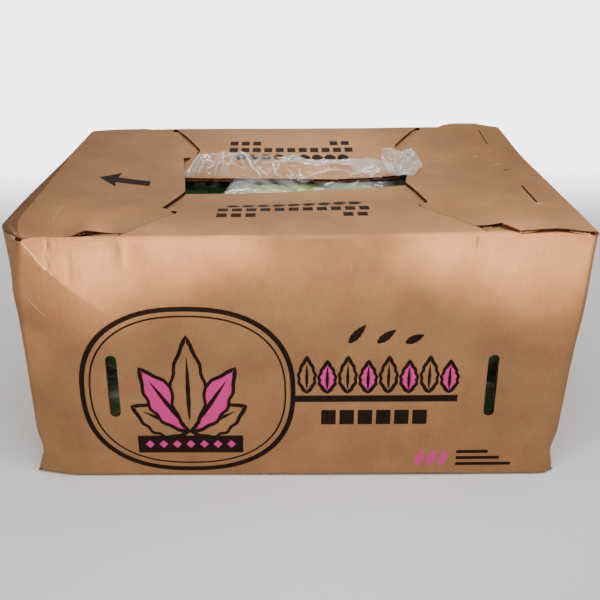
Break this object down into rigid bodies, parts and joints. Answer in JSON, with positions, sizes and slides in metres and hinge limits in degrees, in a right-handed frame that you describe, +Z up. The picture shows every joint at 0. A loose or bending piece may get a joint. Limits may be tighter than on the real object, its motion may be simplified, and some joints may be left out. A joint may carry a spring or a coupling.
{
  "type": "carton of romaine lettuce",
  "caption": "Corrugated produce carton with lapped, hinged top flaps, a clear film liner pulled out of the slot in its top, packed with heads of romaine lettuce.",
  "frame": {"origin": "middle of the base, on the surface that the carton stands on", "axes": "+X along the carton's length, to the right as the front is seen; +Y from the front panel to the back; +Z up"},
  "size_m": [0.59, 0.413, 0.2978],
  "materials": {
    "corrugated_board": "matte",
    "clear_film": "gloss",
    "lettuce_leaf": "satin"
  },
  "bodies": {
    "case": {"wall_front": "corrugated_board", "wall_back": "corrugated_board", "wall_left": "corrugated_board", "wall_right": "corrugated_board", "bottom_flap_front": "corrugated_board", "bottom_flap_back": "corrugated_board", "bottom_flap_left": "corrugated_board", "bottom_flap_right": "corrugated_board", "liner_bag": "clear_film", "liner_mouth": "clear_film", "lettuce_head_01": "lettuce_leaf", "lettuce_head_02": "lettuce_leaf", "lettuce_head_03": "lettuce_leaf", "lettuce_head_04": "lettuce_leaf", "lettuce_head_05": "lettuce_leaf", "lettuce_head_06": "lettuce_leaf", "lettuce_head_07": "lettuce_leaf", "lettuce_head_08": "lettuce_leaf", "lettuce_head_09": "lettuce_leaf", "lettuce_head_10": "lettuce_leaf", "lettuce_head_11": "lettuce_leaf", "lettuce_head_12": "lettuce_leaf", "lettuce_head_13": "lettuce_leaf", "lettuce_head_14": "lettuce_leaf", "lettuce_head_15": "lettuce_leaf", "lettuce_head_16": "lettuce_leaf", "lettuce_head_17": "lettuce_leaf", "lettuce_head_18": "lettuce_leaf", "lettuce_head_19": "lettuce_leaf", "lettuce_head_20": "lettuce_leaf", "lettuce_head_21": "lettuce_leaf", "lettuce_head_22": "lettuce_leaf", "lettuce_head_23": "lettuce_leaf", "lettuce_head_24": "lettuce_leaf"},
    "flap_left": {"top_flap_left": "corrugated_board"},
    "flap_right": {"top_flap_right": "corrugated_board"},
    "flap_front": {"top_flap_front": "corrugated_board"},
    "flap_back": {"top_flap_back": "corrugated_board"}
  },
  "joints": [
    {"name": "left_flap_fold", "type": "hinge", "parent": "case", "child": "flap_left", "pos_m": [-0.295, 0, 0.2811], "axis": [0, -1, 0], "range_deg": [0, 200]},
    {"name": "right_flap_fold", "type": "hinge", "parent": "case", "child": "flap_right", "pos_m": [0.295, 0, 0.2811], "axis": [0, 1, 0], "range_deg": [0, 200]},
    {"name": "front_flap_fold", "type": "hinge", "parent": "case", "child": "flap_front", "pos_m": [0, -0.2065, 0.2815], "axis": [1, 0, 0], "range_deg": [0, 140]},
    {"name": "back_flap_fold", "type": "hinge", "parent": "case", "child": "flap_back", "pos_m": [0, 0.2065, 0.2815], "axis": [-1, 0, 0], "range_deg": [0, 140], "deforming": ["liner_mouth"]}
  ],
  "couplings": [
    {"joint": "right_flap_fold", "follows": "left_flap_fold", "ratio": 1},
    {"joint": "front_flap_fold", "follows": "left_flap_fold", "ratio": 0.7},
    {"joint": "back_flap_fold", "follows": "left_flap_fold", "ratio": 0.7}
  ]
}
